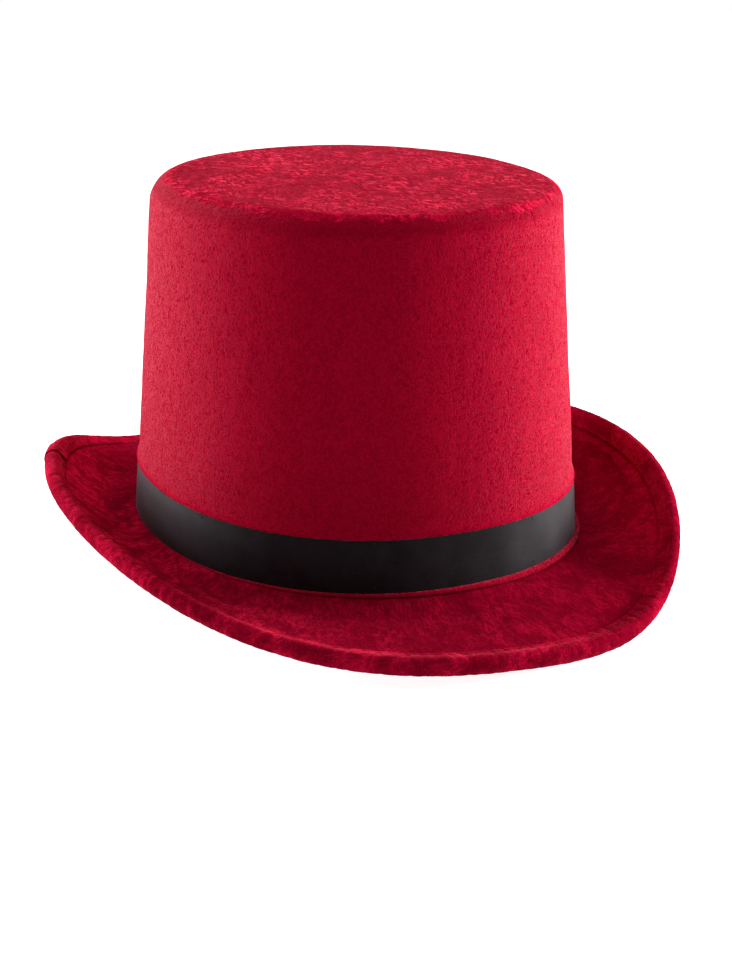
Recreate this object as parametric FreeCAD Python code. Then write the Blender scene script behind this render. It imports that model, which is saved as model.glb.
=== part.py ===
import FreeCAD, Part
import math
import os

# A velvet top hat, in millimetres. +Z is up, the wearer faces -Y, and the wearer's left is +X.
# Heights are counted from the lower edge of the hat band. At the end every piece is lifted
# together, so that the hat stands on z = 0 and the origin is under the middle of the brim.

# Crown: an oval tube that narrows towards the tip. The edge of the tip is rounder on the
# wearer's right than on the left.
CROWN_HALF_WIDTH = 91.8
CROWN_HALF_LENGTH = 103.0
CROWN_HEIGHT = 144.4
CROWN_TAPER = 0.11
CROWN_SQUARENESS = 2.15
TIP_EDGE_RADIUS = 8.0
TIP_EDGE_LEAN = 3.5
FOOT_DROP = 3.0
FOOT_FLARE = 1.8

# Brim: a wider oval whose sides curl up and whose front and back dip, set a little to the
# wearer's left. The height of its edge is a sum of waves round the hat, {waves in one turn: half
# their height}.
BRIM_HALF_WIDTH = 126.4
BRIM_HALF_LENGTH = 154.9
BRIM_SQUARENESS = 2.13
BRIM_SHIFT = 0.4
EDGE_MEAN_HEIGHT = 1.5
EDGE_WAVES = {2: 15.9, 4: 1.6, 6: -1.5}
EDGE_LEAN = 2.7
CURL_SHIFT = 0.14
CURL_LEAN = 0.09
ROOT_SLOPE_FRONT = math.radians(-7.0)
ROOT_SLOPE_SIDE = math.radians(-2.0)
CURL = 0.8
HANDLE = 0.36

# Thicknesses of the layers, and the gap that glue or a fold leaves between two of them.
VELVET = 0.8
CROWN_BOARD = 2.4
BRIM_BOARD = 1.6
LINING = 0.4
SWEATBAND = 1.0
RIBBON = 0.6
GAP = 0.1
COLLAR_HEIGHT = 14.0

# Rolled edge of the brim: a flat wire inside a folded velvet strip.
EDGE_RADIUS = 3.15
LIP_REACH = 5.2
BOARD_TO_EDGE = 1.0
WIRE_WIDTH = 2.0
WIRE_THICK = 1.0
WIRE_OUT = 0.6
JOINER_WALL = 0.3

# Ribbon, sweatband, label and thread.
BAND_HEIGHT = 21.3
SWEATBAND_TOP = 30.0
LABEL_WIDTH = 24.0
LABEL_LENGTH = 28.0
LABEL_HEM = 4.0
LABEL_THICK = 0.4
LABEL_STAND_OFF = 1.6
HINGE_GAP = 0.5
THREAD = 0.3
STITCH = 3.0
STITCH_PITCH = 5.5
JOIN_WIDTH = 12.0

# Places round the hat.
BACK = math.radians(90)
LEFT_BACK = math.radians(62)
RIGHT_BACK = math.radians(118)
ROUNDEST = math.radians(154)
RIGHT_SIDE = math.radians(152)

# Poles round a full ring and along a short strip, and the handle of a quarter circle.
RING_POLES = 96
STRIP_POLES = 4
ARC = 0.5523

WALL_TOP = CROWN_HEIGHT - TIP_EDGE_RADIUS - TIP_EDGE_LEAN
BRIM_STACK = BRIM_BOARD / 2 + GAP + VELVET
ROOT_INSET = VELVET + CROWN_BOARD + BRIM_BOARD + 2 * GAP
ROOT_DROP = 0.9
ROOT_HEIGHT = -FOOT_DROP - BRIM_STACK - ROOT_DROP
THREAD_LIFT = GAP + THREAD / 2
SWEATBAND_INSET = ROOT_INSET + THREAD + 3 * GAP
SWEATBAND_LOW = ROOT_HEIGHT - ROOT_DROP
UP = FreeCAD.Vector(0, 0, 1)


def oval(half_width, half_length, squareness, angle):
    """A point of an oval that is a little squarer than an ellipse."""
    across = abs(math.cos(angle)) ** squareness
    along = abs(math.sin(angle)) ** squareness
    size = (across + along) ** (-1 / squareness)
    return half_width * size * math.cos(angle), half_length * size * math.sin(angle)


def crown_point(angle, inset, height):
    """A point inside the crown's outer face by inset, at this height."""
    scale = 1 - CROWN_TAPER * height / CROWN_HEIGHT
    x, y = oval(CROWN_HALF_WIDTH * scale - inset, CROWN_HALF_LENGTH * scale - inset,
                CROWN_SQUARENESS, angle)
    return FreeCAD.Vector(x, y, height)


def edge_point(angle):
    """The middle of the brim's rolled edge."""
    x, y = oval(BRIM_HALF_WIDTH, BRIM_HALF_LENGTH, BRIM_SQUARENESS, angle)
    turned = angle - CURL_LEAN * math.cos(angle) + CURL_SHIFT * math.cos(angle) ** 2
    waves = sum(size * math.cos(count * turned) for count, size in EDGE_WAVES.items())
    return FreeCAD.Vector(x + BRIM_SHIFT, y,
                          EDGE_MEAN_HEIGHT + waves + EDGE_LEAN * math.cos(3 * angle))


def brim_section(angle):
    """The cubic curve of the brim's middle surface at this angle, from the crown to the edge:
    four control points, and the brim's normal at each."""
    root = crown_point(angle, ROOT_INSET, ROOT_HEIGHT)
    edge = edge_point(angle)
    span = edge - root
    run = math.hypot(span.x, span.y)
    outward = FreeCAD.Vector(span.x / run, span.y / run, 0)
    root_slope = ROOT_SLOPE_FRONT + (ROOT_SLOPE_SIDE - ROOT_SLOPE_FRONT) * math.cos(angle) ** 2
    chord_slope = math.atan2(span.z, run)
    edge_slope = chord_slope + CURL * (chord_slope - root_slope)
    handle = HANDLE * span.Length
    points, normals = [], []
    for start, slope, reach in ((root, root_slope, 0), (root, root_slope, handle),
                                (edge, edge_slope, -handle), (edge, edge_slope, 0)):
        points.append(start + (outward * math.cos(slope) + UP * math.sin(slope)) * reach)
        normals.append(UP * math.cos(slope) - outward * math.sin(slope))
    return points, normals


def blend(points, values):
    """The polar form of a Bezier curve, which gives the control points of any stretch of it."""
    for value in values:
        points = [a + (b - a) * value for a, b in zip(points, points[1:])]
    return points[0]


def brim_stretch(angle, offsets, start, end):
    """Four control points of a stretch of the brim's section, moved off its middle surface by
    four offsets. start and end are distances back from the edge; start may be "root"."""
    points, normals = brim_section(angle)
    speed = 3 * (points[1] - points[0]).Length
    first = start[1] / speed if isinstance(start, tuple) else 1 - start / speed
    last = 1 - end / speed
    picks = ((first, first, first), (first, first, last), (first, last, last), (last, last, last))
    return [blend(points, pick) + blend(normals, pick) * offset
            for pick, offset in zip(picks, offsets)]


def from_root(distance):
    """A start for brim_stretch that is counted from the brim's root."""
    return "root", distance


def rows_round(make_points, first=None, last=None):
    """Rows of poles from a section that is given as a function of the angle: right round the hat,
    or between two angles."""
    if first is None:
        angles = [2 * math.pi * step / RING_POLES for step in range(RING_POLES)]
    else:
        angles = [first + (last - first) * step / (STRIP_POLES - 1) for step in range(STRIP_POLES)]
    return [list(row) for row in zip(*[make_points(angle) for angle in angles])]


def skin(rows, closed=True):
    """Faces with these rows of poles. Closed rows run right round the hat, in two halves."""
    grid = [list(column) for column in zip(*rows)]
    count, across = len(grid), len(rows) - 1
    along = min(3, count - 1)
    if closed:
        marks, repeats = list(range(count + 1)), [1] * (count + 1)
    else:
        marks = list(range(count - along + 1))
        repeats = [along + 1] + [1] * (count - along - 1) + [along + 1]
    surface = Part.BSplineSurface()
    surface.buildFromPolesMultsKnots(grid, repeats, [across + 1] * 2, marks, [0, 1],
                                     closed, False, along, across)
    if not closed:
        return [surface.toShape()]
    halves = [surface.copy(), surface.copy()]
    halves[0].segment(0, count / 2, 0, 1)
    halves[1].segment(count / 2, count, 0, 1)
    return [half.toShape() for half in halves]


def disc(row):
    """The flat face inside one closed row of poles."""
    count = len(row)
    curve = Part.BSplineCurve()
    curve.buildFromPolesMultsKnots(row, [1] * (count + 1), list(range(count + 1)), True, 3)
    halves = [curve.copy(), curve.copy()]
    halves[0].segment(0, count / 2)
    halves[1].segment(count / 2, count)
    return [Part.Face(Part.Wire([half.toShape() for half in halves]))]


def solid(*skins):
    """One closed solid from skins that meet edge to edge."""
    shell = Part.makeShell([face for faces in skins for face in faces])
    shell.sewShape()
    body = Part.Solid(shell)
    if body.Volume < 0:
        body.reverse()
    if not body.isValid() or not shell.isClosed():
        raise ValueError("open or broken solid")
    return body


def ring(*stretches):
    """A solid ring. Each stretch is 2 to 4 rows, and starts on the row where the last one ended."""
    return solid(*[skin(rows) for rows in stretches])


def strip(outer, inner, tube=False):
    """A short curved strip between two stacks of stretches. A tube's section closes on itself."""
    skins = [skin(rows, False) for rows in outer + inner]
    for over, under in zip(outer, inner):
        for end in (0, -1):
            skins.append(skin([[row[end] for row in over], [row[end] for row in under]], False))
    if not tube:
        skins.append(skin([outer[0][0], inner[0][0]], False))
        skins.append(skin([outer[-1][-1], inner[-1][-1]], False))
    return solid(*skins)


def sleeve(inset, thick, low, high):
    """A layer round the crown, from inset to inset + thick and between two heights."""
    a, b, c, d = rows_round(lambda angle: [
        crown_point(angle, inset, low), crown_point(angle, inset, high),
        crown_point(angle, inset + thick, high), crown_point(angle, inset + thick, low)])
    return ring([a, b], [b, c], [c, d], [d, a])


def patch(inset, thick, low, high, place, width):
    """A piece of such a layer that is width wide, about the angle place."""
    half = width / 2 / crown_point(place, inset, low).Length

    def face(depth):
        return rows_round(lambda angle: [crown_point(angle, depth, low),
                                         crown_point(angle, depth, high)], place - half, place + half)
    return strip([face(inset)], [face(inset + thick)])


def thread(start, end):
    """One visible stitch: a short straight length of thread."""
    return Part.makeCylinder(THREAD / 2, (end - start).Length, start, end - start)


def stitches(place, pitch):
    """Stitches in a row right round the hat, along the curve that place(angle) gives."""
    length = 0
    steps = 360
    for step in range(steps):
        length += (place(2 * math.pi * (step + 1) / steps) - place(2 * math.pi * step / steps)).Length
    count = round(length / pitch)
    middles = [2 * math.pi * turn / count for turn in range(count)]
    pieces = []
    for middle in middles:
        half = STITCH / 2 / (place(middle + 0.01) - place(middle)).Length * 0.01
        pieces.append(thread(place(middle - half), place(middle + half)))
    return Part.makeCompound(pieces)


def tip_rows(inset, low):
    """Rows of a crown layer's face: up the wall from low, then round the edge of the tip."""
    top = CROWN_HEIGHT - inset

    def section(angle):
        radius = TIP_EDGE_RADIUS + TIP_EDGE_LEAN * math.cos(angle - ROUNDEST)
        handle = ARC * (radius - inset)
        return [crown_point(angle, inset, low), crown_point(angle, inset, WALL_TOP),
                crown_point(angle, inset, CROWN_HEIGHT - radius + handle),
                crown_point(angle, radius - handle, top), crown_point(angle, radius, top)]
    return rows_round(section)


def crown_cover():
    """The velvet skin of the crown, with its flared foot over the brim."""
    outer = tip_rows(0, 0)
    inner = tip_rows(VELVET, -FOOT_DROP)
    foot = rows_round(lambda angle: [
        crown_point(angle, 0, 0), crown_point(angle, 0, -FOOT_DROP / 2),
        crown_point(angle, -FOOT_FLARE, -FOOT_DROP / 3),
        crown_point(angle, -FOOT_FLARE, -FOOT_DROP)])
    return solid(skin(outer[:2]), skin(outer[1:]), disc(outer[-1]), skin(foot),
                 skin([foot[-1], inner[0]]), skin(inner[:2]), skin(inner[1:]), disc(inner[-1]))


def crown_shell():
    """The moulded board that gives the crown its shape."""
    outer = tip_rows(VELVET + GAP, -FOOT_DROP)
    inner = tip_rows(VELVET + GAP + CROWN_BOARD, -FOOT_DROP)
    return solid(skin(outer[:2]), skin(outer[1:]), disc(outer[-1]), skin([outer[0], inner[0]]),
                 skin(inner[:2]), skin(inner[1:]), disc(inner[-1]))


def crown_lining():
    """The cloth on the inside of the crown's wall, from the brim's collar to the tip."""
    inset = VELVET + CROWN_BOARD + 2 * GAP
    return sleeve(inset, LINING, COLLAR_HEIGHT + 1, WALL_TOP)


def tip_lining():
    """The oval of lining under the tip."""
    top = CROWN_HEIGHT - VELVET - CROWN_BOARD - 2 * GAP
    inset = TIP_EDGE_RADIUS + TIP_EDGE_LEAN + 1
    above, below = rows_round(lambda angle: [crown_point(angle, inset, top),
                                             crown_point(angle, inset, top - LINING)])
    return solid(disc(above), skin([above, below]), disc(below))


def brim_rows(offset, start):
    """Rows of a face of one brim layer, from start to where the layers end in the rolled edge."""
    return rows_round(lambda angle: brim_stretch(angle, [offset] * 4, start, BOARD_TO_EDGE))


def brim_layer(low, high, start):
    """A layer of the brim between two offsets from its middle surface."""
    under, over = brim_rows(low, start), brim_rows(high, start)
    return ring(under, [under[-1], over[-1]], over, [over[0], under[0]])


def brim_top_cover():
    """Velvet on the top of the brim, tucked under the crown's foot."""
    low = BRIM_BOARD / 2 + GAP
    return brim_layer(low, low + VELVET, from_root(ROOT_INSET - VELVET))


def brim_under_cover():
    """Velvet on the underside of the brim."""
    high = -BRIM_BOARD / 2 - GAP
    return brim_layer(high - VELVET, high, from_root(0))


def brim_board():
    """The pressed board that gives the brim its shape."""
    return brim_layer(-BRIM_BOARD / 2, BRIM_BOARD / 2, from_root(0))


def brim_collar():
    """The strip that stands on the brim's board, inside the crown, and joins the two."""
    low = ROOT_HEIGHT + BRIM_BOARD / 2 + GAP
    return sleeve(ROOT_INSET - BRIM_BOARD, BRIM_BOARD, low, COLLAR_HEIGHT)


def edge_frame(angle):
    """Middle of the rolled edge, its outward direction along the brim, and the brim's normal."""
    points, normals = brim_section(angle)
    return points[3], (points[3] - points[2]).normalize(), normals[3]


def lip(side, thin, thick):
    """Section of one face of the binding's lip above (+1) or below (-1) the brim."""
    offsets = [side * size for size in (thin, thin, thick, thick)]
    return lambda angle: brim_stretch(angle, offsets, LIP_REACH, 0)


def nose(side, radius):
    """Section of a face of the roll, a quarter circle from its top (+1) or bottom (-1)."""
    def points(angle):
        middle, outward, normal = edge_frame(angle)
        rise, out = normal * (radius * side), outward * radius
        return [middle + rise, middle + rise + out * ARC, middle + out + rise * ARC, middle + out]
    return points


def fold(extra, make_rows):
    """The faces of the binding from its upper lip round to its lower lip, extra mm outside the
    binding's outer face."""
    thin, thick = BRIM_STACK + GAP + VELVET + extra, EDGE_RADIUS + extra
    sections = (lip(1, thin, thick), nose(1, thick), nose(-1, thick), lip(-1, thin, thick))
    upper, over, under, lower = [make_rows(section) for section in sections]
    return [upper, over, under[::-1], lower[::-1]]


def edge_binding():
    """The velvet strip folded round the brim's edge, with a lip above and a lip below."""
    outer, inner = fold(0, rows_round), fold(-VELVET, rows_round)
    return ring(*outer, *inner, [outer[0][0], inner[0][0]], [outer[-1][-1], inner[-1][-1]])


def binding_join():
    """The doubled velvet where the ends of the binding overlap, at the side of the brim."""
    half = JOIN_WIDTH / 2 / edge_point(RIGHT_SIDE).Length

    def make_rows(section):
        return rows_round(section, RIGHT_SIDE - half, RIGHT_SIDE + half)
    return strip(fold(GAP + VELVET / 2, make_rows), fold(GAP, make_rows))


def binding_stitches():
    """Stitches that hold both lips of the binding down on the brim, and over its join."""
    back = LIP_REACH - 1
    beside_join = (JOIN_WIDTH / 2 + STITCH) / edge_point(RIGHT_SIDE).Length

    def row(side):
        def place(angle):
            on_join = abs(angle - RIGHT_SIDE) < beside_join
            layers = VELVET + (GAP + VELVET / 2 if on_join else 0)
            lift = side * (BRIM_STACK + 2 * GAP + layers + THREAD_LIFT)
            return brim_stretch(angle, [lift] * 4, back, back)[0]
        return stitches(place, STITCH_PITCH)
    return Part.makeCompound([row(1), row(-1)])


def wire_sides(grow, make_rows):
    """The four sides of the edge wire, moved out from it by grow."""
    def corners(angle):
        middle, outward, normal = edge_frame(angle)
        across = outward * (WIRE_WIDTH / 2 + grow)
        up = normal * (WIRE_THICK / 2 + grow)
        centre = middle + outward * WIRE_OUT
        return [centre + across + up, centre - across + up,
                centre - across - up, centre + across - up]
    a, b, c, d = make_rows(corners)
    return [[a, b], [b, c], [c, d], [d, a]]


def brim_wire():
    """The flat steel wire inside the rolled edge."""
    return ring(*wire_sides(0, rows_round))


def wire_joiner():
    """The flat sleeve that the two ends of the wire are pushed into."""
    half = JOIN_WIDTH / 2 / edge_point(BACK).Length

    def make_rows(points):
        return rows_round(points, BACK - half, BACK + half)
    return strip(wire_sides(GAP + JOINER_WALL, make_rows), wire_sides(GAP, make_rows), tube=True)


def hat_band():
    """The satin ribbon round the foot of the crown."""
    return sleeve(-GAP - RIBBON, RIBBON, 0, BAND_HEIGHT)


def hat_band_join():
    """The folded end of the ribbon, which covers its other end at the back."""
    return patch(-2 * (GAP + RIBBON), RIBBON, 0, BAND_HEIGHT, LEFT_BACK, JOIN_WIDTH)


def hat_band_stitches():
    """Tacks that hold the ribbon to the velvet at its two edges."""
    count = 8
    inset = -GAP - RIBBON - THREAD_LIFT
    pieces = []
    for turn in range(count):
        angle = 2 * math.pi * (turn + 1 / 2) / count
        for low in (1, BAND_HEIGHT - 1 - STITCH / 2):
            pieces.append(thread(crown_point(angle, inset, low),
                                 crown_point(angle, inset, low + STITCH / 2)))
    return Part.makeCompound(pieces)


def collar_stitches():
    """Stitches through the brim's collar and the crown, which join the two."""
    height = COLLAR_HEIGHT / 2
    return stitches(lambda angle: crown_point(angle, ROOT_INSET + THREAD_LIFT, height), 2 * STITCH)


def sweatband():
    """The band inside the head opening that sits on the wearer's head."""
    return sleeve(SWEATBAND_INSET, SWEATBAND, SWEATBAND_LOW, SWEATBAND_TOP)


def sweatband_join():
    """The tape over the ends of the sweatband."""
    return patch(SWEATBAND_INSET + SWEATBAND + GAP, LINING, 0, SWEATBAND_TOP - 1, RIGHT_BACK,
                 JOIN_WIDTH)


def sweatband_stitches():
    """Stitches along the sweatband's lower edge."""
    inset = SWEATBAND_INSET + SWEATBAND + THREAD_LIFT
    return stitches(lambda angle: crown_point(angle, inset, SWEATBAND_LOW + 2), STITCH_PITCH)


def label_plane():
    """The y of the front of the label, and the height of the lower edge of its hem."""
    wall = crown_point(BACK, SWEATBAND_INSET + SWEATBAND, SWEATBAND_TOP).y
    return wall - LABEL_STAND_OFF, SWEATBAND_TOP - 1 - LABEL_HEM


def care_label_hem():
    """The doubled top edge of the blank care label, sewn flat to the sweatband."""
    front, low = label_plane()
    inset = SWEATBAND_INSET + SWEATBAND + GAP
    half = math.asin(LABEL_WIDTH / 2 / (CROWN_HALF_WIDTH - inset))

    def wall(angle):
        return [crown_point(angle, inset, low), crown_point(angle, inset, low + LABEL_HEM)]

    def flat(angle):
        return [FreeCAD.Vector(spot.x, front, spot.z) for spot in wall(angle)]
    return strip([rows_round(wall, BACK - half, BACK + half)],
                 [rows_round(flat, BACK - half, BACK + half)])


def care_label():
    """The free part of the label, which hangs from its hem and can be lifted."""
    front, low = label_plane()
    corner = FreeCAD.Vector(-LABEL_WIDTH / 2, front, low - HINGE_GAP - LABEL_LENGTH)
    return Part.makeBox(LABEL_WIDTH, LABEL_THICK, LABEL_LENGTH, corner)


def care_label_stitches():
    """The row of stitches across the label's hem."""
    front, low = label_plane()
    height = low + LABEL_HEM / 2
    count = int((LABEL_WIDTH - STITCH) / STITCH_PITCH)
    pieces = []
    for number in range(count + 1):
        x = (number - count / 2) * STITCH_PITCH
        start = FreeCAD.Vector(x - STITCH / 2, front - THREAD_LIFT, height)
        pieces.append(thread(start, start + FreeCAD.Vector(STITCH, 0, 0)))
    return Part.makeCompound(pieces)


PIECES = (
    crown_cover, crown_shell, crown_lining, tip_lining, brim_top_cover, brim_board, brim_collar,
    brim_under_cover, brim_wire, wire_joiner, edge_binding, binding_join, binding_stitches,
    hat_band, hat_band_join, hat_band_stitches, collar_stitches, sweatband, sweatband_join,
    sweatband_stitches, care_label_hem, care_label, care_label_stitches)

made = {make.__name__: make() for make in PIECES}
lift = max(-made["edge_binding"].optimalBoundingBox().ZMin, -made["binding_join"].BoundBox.ZMin)
front, low = label_plane()
print("lifted by", round(lift, 3))
print("label hinge at y", round(front + LABEL_THICK / 2, 3), "z", round(low - HINGE_GAP + lift, 3))
os.makedirs("parts", exist_ok=True)
for name, shape in made.items():
    shape.translate(UP * lift)
    shape.exportStep("parts/" + name + ".step")
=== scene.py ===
import math

import bpy
import numpy as np
from mathutils import Matrix, Vector, noise


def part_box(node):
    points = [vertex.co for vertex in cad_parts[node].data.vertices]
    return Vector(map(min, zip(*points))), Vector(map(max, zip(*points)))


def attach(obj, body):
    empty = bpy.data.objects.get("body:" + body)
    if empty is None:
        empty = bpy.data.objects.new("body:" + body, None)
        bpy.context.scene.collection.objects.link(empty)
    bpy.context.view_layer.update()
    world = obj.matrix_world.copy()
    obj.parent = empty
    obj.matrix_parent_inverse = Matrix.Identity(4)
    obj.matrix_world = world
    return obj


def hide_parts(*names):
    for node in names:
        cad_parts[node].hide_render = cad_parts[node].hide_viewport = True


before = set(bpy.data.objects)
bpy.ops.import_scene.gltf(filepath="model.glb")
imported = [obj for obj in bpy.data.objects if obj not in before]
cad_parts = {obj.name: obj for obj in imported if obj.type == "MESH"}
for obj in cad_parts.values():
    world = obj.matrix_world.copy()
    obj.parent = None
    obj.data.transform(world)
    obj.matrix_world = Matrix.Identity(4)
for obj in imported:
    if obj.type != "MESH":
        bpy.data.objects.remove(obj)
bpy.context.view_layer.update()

MM = 0.001

# Layers of the hat.
VELVET = 0.8 * MM
RIBBON = 0.6 * MM
SWEATBAND = 1.0 * MM
LINING = 0.4 * MM
THREAD = 0.3 * MM
GAP = 0.1 * MM

# Crown, from the boxes of its ribbon and cover: an oval that narrows towards the tip. The radius of
# the edge round the tip is larger by its lean at the roundest place, and smaller opposite.
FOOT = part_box("hat_band")[0].z
BAND_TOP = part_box("hat_band")[1].z
CROWN_HALF_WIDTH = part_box("hat_band")[1].x - RIBBON - GAP
CROWN_HALF_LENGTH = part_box("hat_band")[1].y - RIBBON - GAP
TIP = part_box("crown_cover")[1].z
CROWN_TAPER = 0.11
CROWN_SQUARENESS = 2.15
TIP_EDGE_RADIUS = 8.3 * MM
TIP_EDGE_LEAN = 3.0 * MM
CROWN_BOARD = 2.4 * MM

# Brim: a wider oval, shifted to the wearer's left. Its edge goes up and down in waves, {waves in one
# turn: half their height}, and three that lean it. The last two numbers move the waves round it.
BRIM_HALF_WIDTH = 126.4 * MM
BRIM_HALF_LENGTH = 154.9 * MM
BRIM_SQUARENESS = 2.13
BRIM_SHIFT = 0.4 * MM
EDGE_MEAN_HEIGHT = 1.5 * MM
EDGE_WAVES = {2: 15.9 * MM, 4: 1.6 * MM, 6: -1.5 * MM}
EDGE_LEAN = 2.7 * MM
CURL_SHIFT = 0.14
CURL_LEAN = 0.09

# Section of the brim, from its root inside the crown to its edge: how far in and down the root is,
# its slopes, how far the edge turns on past the chord, and the curve's handles in shares of the span.
ROOT_INSET = 5.0 * MM
ROOT_DEPTH = 5.6 * MM
ROOT_SLOPE_FRONT = math.radians(-7.0)
ROOT_SLOPE_SIDE = math.radians(-2.0)
CURL = 0.8
HANDLE = 0.36

# Layers of the brim: half of its board and velvets, the radius of the rolled edge, the reach of the
# binding's lips, how far the velvets run on under them, and where the upper velvet starts.
BRIM_STACK = 1.7 * MM
EDGE_RADIUS = 3.15 * MM
LIP_REACH = 5.2 * MM
TUCK = 1.8 * MM
UNDER_CROWN = 4.6 * MM

# Stitches, and the overlap where the two ends of a strip meet.
STITCH = 3.0 * MM
STITCH_PITCH = 5.5 * MM
OVERLAP = 12 * MM

# Places round the hat: where the ribbon ripples most, where the crown's upper edge is roundest, and
# where the binding's ends meet.
FRONT_LEFT = math.radians(-40)
ROUNDEST = math.radians(154)
RIGHT_SIDE = math.radians(152)

# Columns of a closed grid: fine where the nap shows in the outline, about eleven for each stitch of
# the binding, plain inside, and the columns of the label. A curve is measured along its samples.
FINE = 1024
BINDING_COLUMNS = 1760
PLAIN = 768
LABEL_COLUMNS = 33
CURVE_SAMPLES = 2881

# Rows of the face of the brim's velvet that lies against the board, from the edge to the root.
FLAT_SHARES = (1, 0.6, 0.3, 0)

# How far in from the crown's outer face the inner face of the sweatband stands, and the length of
# the seam along its lower edge.
SWEATBAND_FACE = ROOT_INSET + THREAD + 3 * GAP + SWEATBAND
SWEATBAND_SEAM = 575 * MM

# Camera: where it stands round the hat, how far off, its lens and sensor in millimetres, and the
# point that it looks at, as a distance to the right of the hat's axis and a height.
CAMERA_AZIMUTH = math.radians(-25.54)
CAMERA_ELEVATION = math.radians(19.0)
CAMERA_ROLL = math.radians(0.431)
CAMERA_DISTANCE = 0.8138
CAMERA_LENS = 69.37
CAMERA_SENSOR = 36
CAMERA_AIM = (5.9 * MM, FOOT + 10.8 * MM)

# The point that the lights face.
LIGHT_AIM = Vector((0, 0, 80 * MM))

UP = np.array([0.0, 0.0, 1.0])
rng = np.random.default_rng(7)


# -------- curves of the hat

def around(count):
    """Angles of the columns of a closed grid."""
    return np.arange(count) * 2 * math.pi / count


def oval(half_width, half_length, squareness, t):
    """Points of an oval that is a little squarer than an ellipse, as x and y."""
    size = (np.abs(np.cos(t)) ** squareness + np.abs(np.sin(t)) ** squareness) ** (-1 / squareness)
    return half_width * size * np.cos(t), half_length * size * np.sin(t)


def stack(x, y, z):
    """Points from their coordinates, each an array or one number for all of them."""
    return np.stack(np.broadcast_arrays(x, y, z), -1)


def crown_points(t, out, z):
    """Points outside the crown's outer face by out, at height z."""
    scale = 1 - CROWN_TAPER * (z - FOOT) / (TIP - FOOT)
    x, y = oval(CROWN_HALF_WIDTH * scale + out, CROWN_HALF_LENGTH * scale + out,
                CROWN_SQUARENESS, t)
    return stack(x, y, z)


def brim_section(t):
    """The cubic curve of the brim's middle surface at each angle: four control points, the level
    direction outwards, and the distance along the brim for each unit of the curve's parameter."""
    root = crown_points(t, -ROOT_INSET, FOOT - ROOT_DEPTH)
    x, y = oval(BRIM_HALF_WIDTH, BRIM_HALF_LENGTH, BRIM_SQUARENESS, t)
    turned = t - CURL_LEAN * np.cos(t) + CURL_SHIFT * np.cos(t) ** 2
    waves = sum(size * np.cos(count * turned) for count, size in EDGE_WAVES.items())
    edge = stack(x + BRIM_SHIFT, y, FOOT + EDGE_MEAN_HEIGHT + waves + EDGE_LEAN * np.cos(3 * t))
    span = edge - root
    run = np.hypot(span[..., 0], span[..., 1])
    outward = stack(span[..., 0] / run, span[..., 1] / run, 0)
    root_slope = ROOT_SLOPE_FRONT + (ROOT_SLOPE_SIDE - ROOT_SLOPE_FRONT) * np.cos(t) ** 2
    chord_slope = np.arctan2(span[..., 2], run)
    edge_slope = chord_slope + CURL * (chord_slope - root_slope)
    handle = HANDLE * np.linalg.norm(span, axis=-1)

    def heading(slope):
        return outward * np.cos(slope)[..., None] + UP * np.sin(slope)[..., None]
    after_root = root + heading(root_slope) * handle[..., None]
    before_edge = edge - heading(edge_slope) * handle[..., None]
    return (root, after_root, before_edge, edge), outward, 3 * handle


def brim_points(t, s, lift):
    """Points of the brim, the direction along it and its normal. s runs from 0 at its root to 1 in
    the middle of the rolled edge, and lift is the distance above the middle surface."""
    (a, b, c, d), outward, _ = brim_section(t)
    s = np.asarray(s)[..., None]
    place = (1 - s) ** 3 * a + 3 * (1 - s) ** 2 * s * b + 3 * (1 - s) * s ** 2 * c + s ** 3 * d
    ahead = (1 - s) ** 2 * (b - a) + 2 * (1 - s) * s * (c - b) + s ** 2 * (d - c)
    ahead /= np.linalg.norm(ahead, axis=-1, keepdims=True)
    level = (ahead * outward).sum(-1, keepdims=True)
    normal = UP * level - outward * ahead[..., 2:]
    normal /= np.linalg.norm(normal, axis=-1, keepdims=True)
    return place + normal * np.asarray(lift)[..., None], ahead, normal


def back_from_edge(t, distance):
    """The brim's parameter at a distance back from the middle of the rolled edge."""
    return 1 - distance / brim_section(t)[2]


def evenly(curve, count):
    """Angles of points evenly spaced along a closed curve round the hat, and the curve's length."""
    t = np.linspace(0, 2 * math.pi, CURVE_SAMPLES)
    steps = np.linalg.norm(np.diff(curve(t), axis=0), axis=-1)
    run = np.concatenate([[0], np.cumsum(steps)])
    return np.interp(np.arange(count) * run[-1] / count, run, t), run[-1]


def overlap(middle, radius, count):
    """Angles of the columns of a strip as wide as an overlap of cloth, at a radius from the
    middle of the hat."""
    half = OVERLAP / 2 / radius
    return np.linspace(middle - half, middle + half, count)


def smooth(value, low, high):
    """0 below low, 1 above high, and a smooth step between."""
    share = np.clip((value - low) / (high - low), 0, 1)
    return share * share * (3 - 2 * share)


def cloud(points, size, octaves=3):
    """Smooth noise, about -1 to 1, whose largest features have this size in metres."""
    flat = (points.reshape(-1, 3) / size).tolist()
    values = [noise.fractal(spot, 1.0, 2.0, octaves) for spot in flat]
    return np.array(values).reshape(points.shape[:-1])


# -------- meshes

def link(name, data):
    """A new object in the scene."""
    made = bpy.data.objects.new(name, data)
    bpy.context.scene.collection.objects.link(made)
    return made


def fill(mesh, vertices, faces, uvs=None):
    """Put smooth faces in an empty mesh. UVs, where they are given, are one for each corner."""
    mesh.from_pydata(vertices, [], faces)
    layer = mesh.uv_layers.new(name="cloth")
    if uvs is not None:
        layer.data.foreach_set("uv", np.array(uvs, np.float32).ravel())
    mesh.polygons.foreach_set("use_smooth", [True] * len(mesh.polygons))
    mesh.update()


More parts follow.
